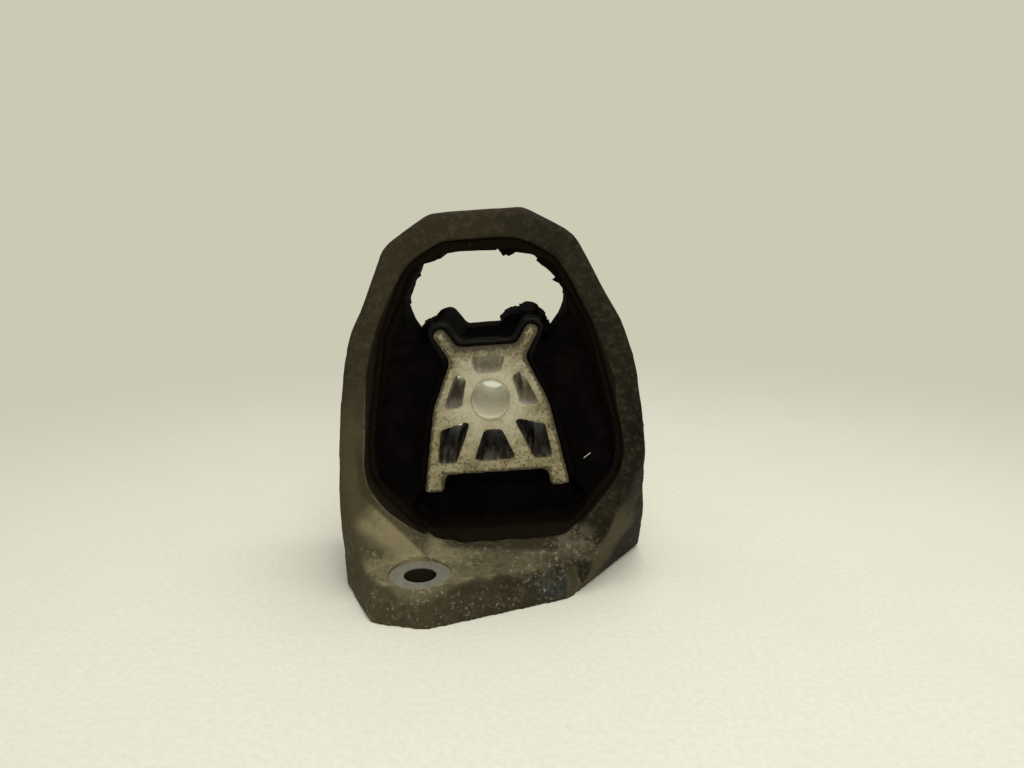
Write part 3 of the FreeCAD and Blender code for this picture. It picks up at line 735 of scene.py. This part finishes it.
def coreFinish():
    values = coreValues
    finish = Finish(bpy.data.materials.new("greyCasting"))
    between = finish.between
    patch = finish.grain(8.0, 5.0, 0.6)
    grit = finish.grain(1.5, 5.0, 0.7, shift=0.4)
    sand = finish.grain(0.7, 3.0, 0.6, shift=2.4)
    grime = finish.painted("grime")
    reach = finish.away((0.0, 0.0, lean["boreHeight"]), (1.0, 0.0, 0.9))
    outer = between(reach, 10.0, 25.0)
    tone = outer * 0.75 + between(patch, 0.4, 0.7) * 0.4 + between(grit, 0.45, 0.65) * 0.3
    colour = finish.blend(tone, values["cleanColour"], values["baseColour"])

    # olive film, patchy, thicker outwards and under the trough between the horns
    film = between(patch * 0.5 + grit * 0.5, 0.44, 0.62) * (outer * 0.65 + 0.06)
    film = film.most(between(finish.painted("web") + (grit - 0.5) * 1.6, 0.30, 0.9) * 0.85)
    colour = finish.blend(film, colour, values["filmColour"])

    # black dots, fewer round the bore, and grime along the outline
    dots = between(finish.grain(1.0, 3.0, 0.7, shift=3.3), 0.545, 0.62)
    dots = (dots * (outer * 0.85 + 0.10)).clamped()
    colour = finish.blend(dots, colour, values["grimeColour"])
    rim = between(grime + (grit - 0.5) * 1.7, 0.42, 0.95)
    colour = finish.blend(rim * 0.9, colour, values["grimeColour"])

    # the pocket walls are streaked; the low ones are painted dark as shade, the high ones painted bright as the
    # light and reflection through the open back
    depth = finish.math("ABSOLUTE", finish.axis("Y"))
    bore = between(reach, 7.30, 7.26) * finish.across(depth, 26.4, 26.0)
    inside = (1.0 - finish.across(depth, 24.3, 25.8)) * (1.0 - bore) * between(grime, 0.75, 0.35)
    high = finish.across(finish.axis("Z"), 72, 80)
    longways = finish.vector("MULTIPLY", finish.place, (1.0, 0.15, 1.0))
    streaks = between(finish.grain(2.0, 4.0, 0.6, where=longways), 0.38, 0.66)
    shadedLowWalls = finish.blend(streaks, *values["shadedLowWalls"])
    litHighWalls = finish.blend(streaks, *values["litHighWalls"])
    colour = finish.blend(inside, colour, finish.blend(high, shadedLowWalls, litHighWalls))

    # the bore is painted bright with the light seen through it and mirrored on its walls, and has a darker ring at
    # its mouth
    spots = 1.0 - between(finish.grain(1.3, 3.0, 0.7, shift=6.0), 0.58, 0.64) * 0.75
    spots = spots - between(patch, 0.5, 0.7) * 0.25
    colour = finish.blend(bore * spots, colour, values["boreLightColour"])
    mouth = between(reach, 7.75, 7.4) * between(reach, 7.2, 7.3) * (0.5 + patch * 0.5)
    colour = finish.blend(mouth, colour, values["filmColour"])

    relief = finish.bump(grit - dots * 0.5, 0.14, 0.8)
    relief = finish.bump(sand, 0.05, 0.6, under=relief)
    rough = 0.58 + (grit - 0.5) * 0.25 + rim * 0.1 - bore * 0.16 - inside * high * 0.15
    metal = 0.12 + bore * 0.14 + inside * high * 0.45
    return finish.close({"Base Color": colour, "Roughness": rough.clamped(), "Metallic": metal.clamped(),
                         "Normal": relief, "Specular IOR Level": 0.35})


# the rubber: lining, lobes, coat of the core and floor lip, torn across the top, lengths in millimetres
rubberValues = {
    "voxel": 0.8,
    "smoothing": 3,           # passes over the whole piece
    "waviness": 0.25,
    "wavePatch": 7.0,
    "bondReach": 0.5,         # how far the outer skin is pressed into the ring
    "flapFront": 20.6,        # the thin sheet left above the window, from its front to its back
    "flapBack": 23.4,
    "tornSteps": 4,           # short runs between two corners of a torn edge
    "tornRoughness": 0.22,    # how ragged the torn edge is between its corners
    "stubShake": 1.3,         # how ragged the stubs above the horns are
    "stubFine": 0.8,
    "lipBack": 2.4,           # how far the lip's left part stands back
    "lipUneven": 1.1,
    "pip": (-35.4, -18.0, -2.6),
    "pipHeight": 0.9,
    "scratch": ((36.9, -18.0, 53.0), (39.5, -18.0, 55.1)),
    "scratchWidth": 0.2,
    "rubberColour": (0.0021, 0.0015, 0.0013),
    "paleRubber": (0.0040, 0.0031, 0.0028),
    "grimeColour": (0.0062, 0.0046, 0.0027),
    "lipColour": (0.0092, 0.0070, 0.0040),
    "fleckColour": (0.16, 0.14, 0.105),
    "scratchColour": (0.60, 0.60, 0.57),
}

flapOutline = [(35.5, 33.4), (35.0, 37.0), (31.0, 45.0), (23.5, 55.0), (10.0, 58.2), (-14.5, 58.2), (-25.0, 54.6),
               (-30.5, 47.0), (-34.9, 38.0), (-35.5, 33.4)]

# what is torn off: a ragged run, the corners that close it, its front and its back
tornOff = [
    # the window above the core
    ([(-28.1, 21.9), (-31.3, 27.5), (-33.2, 34.2), (-33.2, 35.7), (-31.7, 39.1), (-29.8, 43.4), (-27.9, 44.8),
      (-28.0, 46.0), (-25.5, 51.0), (-18.8, 51.6), (-15.5, 53.7), (-8.5, 54.3), (5.3, 53.6), (6.0, 54.9),
      (6.6, 52.9), (9.1, 51.6), (10.5, 50.7), (13.6, 52.2), (20.9, 50.6), (22.8, 49.1), (21.9, 48.1),
      (26.9, 43.6), (29.7, 40.3), (28.3, 39.3), (31.9, 37.3), (32.6, 34.6), (32.1, 30.6), (29.8, 25.7),
      (26.0, 21.0)],
     [(25.5, 21.4), (25.5, 33.0), (-27.0, 33.0), (-27.0, 22.4)], -4.0, 40.0),
    # the stubs on the right horn, inner and outer
    ([(3.5, 25.6), (4.8, 25.2), (5.1, 27.0), (6.8, 28.2), (7.3, 29.2), (9.5, 30.1), (11.5, 30.6), (13.4, 30.2)],
     [(13.4, 32.9), (3.5, 32.9)], -14.0, 14.5),
    ([(21.0, 29.2), (23.0, 28.4), (24.6, 27.1), (24.2, 25.9), (24.6, 22.8)],
     [(25.3, 22.8), (25.3, 32.9), (21.0, 32.9)], -14.0, 14.5),
    # the stub on the left horn
    ([(-26.6, 26.4), (-25.3, 27.7), (-24.0, 27.9), (-22.8, 28.6), (-21.1, 28.4), (-20.2, 29.4)],
     [(-20.2, 32.9), (-26.8, 32.9)], -14.0, 14.5),
]


def frayed(corners, steps, roughness):
    # breaks each run into short ones and shakes them
    result = []
    for first, second in zip(corners, corners[1:]):
        for number in range(steps):
            t = number / steps
            x = first[0] + (second[0] - first[0]) * t
            z = first[1] + (second[1] - first[1]) * t
            if number:
                x += roughness * noise.noise(Vector((x * 1.9, z * 1.9, 1.0)))
                z += roughness * noise.noise(Vector((x * 1.9, z * 1.9, 9.0)))
            result.append((x, z))
    return result + [corners[-1]]


def shaken(place, size, shift):
    # noise in all three directions
    return Vector([lump(place, size, shift + 6.0 * number) for number in range(3)])


def stubShare(x, y, z):
    # 1 on the ragged stubs above the core's horns, 0 elsewhere
    high = ramp(z, 25.5, 27.5) * (1.0 - ramp(abs(y), 13.0, 15.0)) * (1.0 - ramp(z, 34.0, 36.0))
    inner = ramp(x, 3.0, 5.0) * (1.0 - ramp(x, 12.0, 13.5))
    outer = ramp(x, 19.0, 21.0) * (1.0 - ramp(x, 27.0, 29.0))
    onLeft = (1.0 - ramp(x, -19.0, -17.0)) * ramp(x, -28.5, -27.0)
    return high * min(1.0, inner + outer + onLeft)


def rubberShape():
    values = rubberValues
    piece = mergedCopy("rubber_spring", "rubber")
    fuse(piece, values["voxel"], values["smoothing"])

    def work(place, normal):
        x, y, z = localPlace(place)
        slow = min(0.0, lump(place, values["wavePatch"], 3.0) - 0.1)
        shift = normal * slow * values["waviness"] * mm
        # the bond to the ring stays closed
        if outlineGap(x, z, openingOutline) < 0.8:
            shift = normal * values["bondReach"] * mm
        torn = stubShare(x, y, z)
        if torn > 0.01:
            rough = shaken(place, 2.6, 1.0) * values["stubShake"] + shaken(place, 1.3, 2.0) * values["stubFine"]
            shift += rough * torn * mm
        # the lip's front edge is uneven and stands back on the left
        if place.z < 27.5 * mm and y < -14.0:
            back = values["lipBack"] * (1.0 - ramp(x, -21.0, -15.0))
            back += values["lipUneven"] * (lump(Vector((x * mm, 0, 0)), 6.0) + 0.6)
            shift += Vector((0, max(0.0, back) * ramp(-y, 14.0, 24.0) * mm, 0))
        # moulding pip on the left lobe
        away = (Vector((x, y, z)) - Vector(values["pip"])).length
        shift += Vector((0, values["pipHeight"] * (1.0 - ramp(away, 0.6, 1.7)) * mm, 0))
        return shift

    reshape(piece, work)
    bm = bmesh.new()
    addSlab(bm, flapOutline, values["flapFront"], values["flapBack"])
    combine(piece, "tornFlap", bm, "UNION")
    bm = bmesh.new()
    for run, closing, front, back in tornOff:
        addSlab(bm, frayed(run, values["tornSteps"], values["tornRoughness"]) + closing, front, back)
    combine(piece, "tornOff", bm)
    dropCrumbs(piece)

    def coreBead(place):
        # the coat's rim along the core's upper half
        x, y, z = localPlace(place)
        gap = outlineGap(x, z, coreOutline)
        return (1.0 - ramp(gap, 2.6, 3.8)) * (1.0 - ramp(y, -23.5, -20.0)) * ramp(z, 12.0, 19.0)

    def wallGrime(place):
        # along the ring, wider towards the top
        x, y, z = localPlace(place)
        gap = outlineGap(x, z, openingOutline)
        wall = 1.0 - ramp(gap, 1.6 + ramp(z, 0, 45) * 1.4, 4.0 + ramp(z, 0, 45) * 3.0)
        return wall * (1.0 - ramp(y, -12.0, 2.0))

    def lipGrime(place):
        x, y, z = localPlace(place)
        return (1.0 - ramp(z, -54.0, -51.5)) * (1.0 - ramp(y, -13.0, -7.0))

    paint(piece, "bead", coreBead)
    paint(piece, "wall", wallGrime)
    paint(piece, "lip", lipGrime)
    return piece


def rubberFinish():
    values = rubberValues
    finish = Finish(bpy.data.materials.new("agedRubber"))
    between = finish.between
    patch = finish.grain(7.0, 5.0, 0.6)
    grit = finish.grain(1.4, 4.0, 0.7, shift=0.4)
    colour = finish.blend(between(patch, 0.35, 0.7), values["rubberColour"], values["paleRubber"])

    # grime along the ring, dust on the floor lip, a few pale flecks in both
    crust = between(finish.painted("wall") + (grit - 0.5) * 0.5, 0.2, 0.85)
    colour = finish.blend(crust, colour, values["grimeColour"])
    dust = between(finish.painted("lip") + (patch - 0.5) * 0.5 + (grit - 0.5) * 0.3, 0.25, 0.9)
    colour = finish.blend(dust, colour, values["lipColour"])
    flecks = between(finish.grain(1.3, 4.0, 0.7, shift=5.1), 0.64, 0.72) * (crust + dust).clamped() * 0.3
    colour = finish.blend(flecks, colour, values["fleckColour"])

    # one fresh scratch on the right lobe
    scratch = finish.stroke(values["scratch"], values["scratchWidth"])
    colour = finish.blend(scratch, colour, values["scratchColour"])

    rough = 0.80 + crust * 0.1 + dust * 0.1 + (patch - 0.5) * 0.2
    return finish.close({"Base Color": colour, "Roughness": rough.clamped(), "Normal": finish.bump(grit, 0.08, 0.7),
                         "Specular IOR Level": 0.01, "Coat Weight": finish.painted("bead") * 0.14,
                         "Coat Roughness": 0.34})


settle(bracketShape(), "bracket_casting", castFinish())
settle(coreShape(), "core_casting", coreFinish())
settle(rubberShape(), "rubber_spring", rubberFinish())


stageValues = {
    # lengths in metres
    "floorReach": 6.0,
    "fadeFrom": 0.14,         # from the middle, where the floor starts to turn into the backdrop
    "fadeTo": 0.62,
    "floorColour": (0.783, 0.775, 0.640),
    "speckleTones": (0.94, 1.02),
    "stainTone": 0.9,
    "backdrop": (0.60, 0.59, 0.46),
    "skyColour": (0.97, 0.98, 1.0),
    "skyStrength": 0.42,
    "lampColour": (1.0, 0.98, 0.93),
    "lamps": [
        # name, place, aim, width, height, watts
        ("overhead", (0.16, -0.10, 1.0), (0.0, 0.0, 0.05), 0.8, 0.6, 6.0),
        ("front", (0.10, -1.0, 0.60), (0.0, 0.0, 0.07), 0.7, 0.5, 4.8),
    ],
}


def seenDirectly(finish):
    # 1 for the camera and for what glossy surfaces mirror
    return finish.add("LightPath", out="Is Camera Ray").most(finish.add("LightPath", out="Is Glossy Ray"))


def makeFloor():
    values = stageValues
    bm = bmesh.new()
    bmesh.ops.create_grid(bm, x_segments=2, y_segments=2, size=values["floorReach"])
    floor = newPiece("floor", bm)
    finish = Finish(bpy.data.materials.new("paleFloor"))
    dark, light, stained = (tuple(c * tone for c in values["floorColour"])
                            for tone in (*values["speckleTones"], values["stainTone"]))
    colour = finish.blend(finish.between(finish.grain(2.2, 5.0, 0.65), 0.3, 0.7), dark, light)
    darkPatch = finish.between(finish.grain(60.0, 4.0, 0.6, shift=0.5), 0.4, 0.75)
    colour = finish.blend(darkPatch * 0.25, colour, stained)
    reach = finish.vector("LENGTH", finish.place, out="Value")
    far = finish.between(reach, values["fadeFrom"], values["fadeTo"]) * seenDirectly(finish)
    near = finish.add("BsdfDiffuse", {}, {"Color": colour})
    glow = finish.add("Emission", {}, {"Color": (*values["backdrop"], 1.0), "Strength": 1.0})
    finish.end(finish.add("MixShader", {}, {0: far, 1: near, 2: glow}))
    floor.data.materials.append(finish.owner)


def makeLight():
    values = stageValues
    world = bpy.data.worlds.new("softRoom")
    scene.world = world
    room = Finish(world)
    sky = room.add("Background", {}, {"Color": (*values["skyColour"], 1.0), "Strength": values["skyStrength"]})
    shown = room.add("Background", {}, {"Color": (*values["backdrop"], 1.0)})
    room.end(room.add("MixShader", {}, {0: seenDirectly(room), 1: sky, 2: shown}), "World")
    for name, spot, aim, width, height, watts in values["lamps"]:
        lamp = bpy.data.lights.new(name, "AREA")
        lamp.shape = "RECTANGLE"
        lamp.size = width
        lamp.size_y = height
        lamp.energy = watts
        lamp.color = values["lampColour"]
        holder = linked(name, lamp)
        holder.location = spot
        holder.rotation_euler = (Vector(aim) - Vector(spot)).to_track_quat("-Z", "Y").to_euler()


cameraValues = {
    "place": (8.2, -323.5, 152.4),      # mm
    "pitchDown": 12.75,
    "lens": 28.125,
    "sensor": 36.0,
    "nearest": 0.01,                    # metres
}


def placeCamera():
    values = cameraValues
    data = bpy.data.cameras.new("viewCamera")
    data.lens = values["lens"]
    data.sensor_width = values["sensor"]
    data.clip_start = values["nearest"]
    camera = linked("viewCamera", data)
    camera.location = Vector(values["place"]) * mm
    camera.rotation_euler = (math.radians(90.0 - values["pitchDown"]), 0.0, 0.0)
    scene.camera = camera


makeFloor()
makeLight()
placeCamera()
scene.view_settings.view_transform = "Standard"
print("floor, lamps and camera are in place")
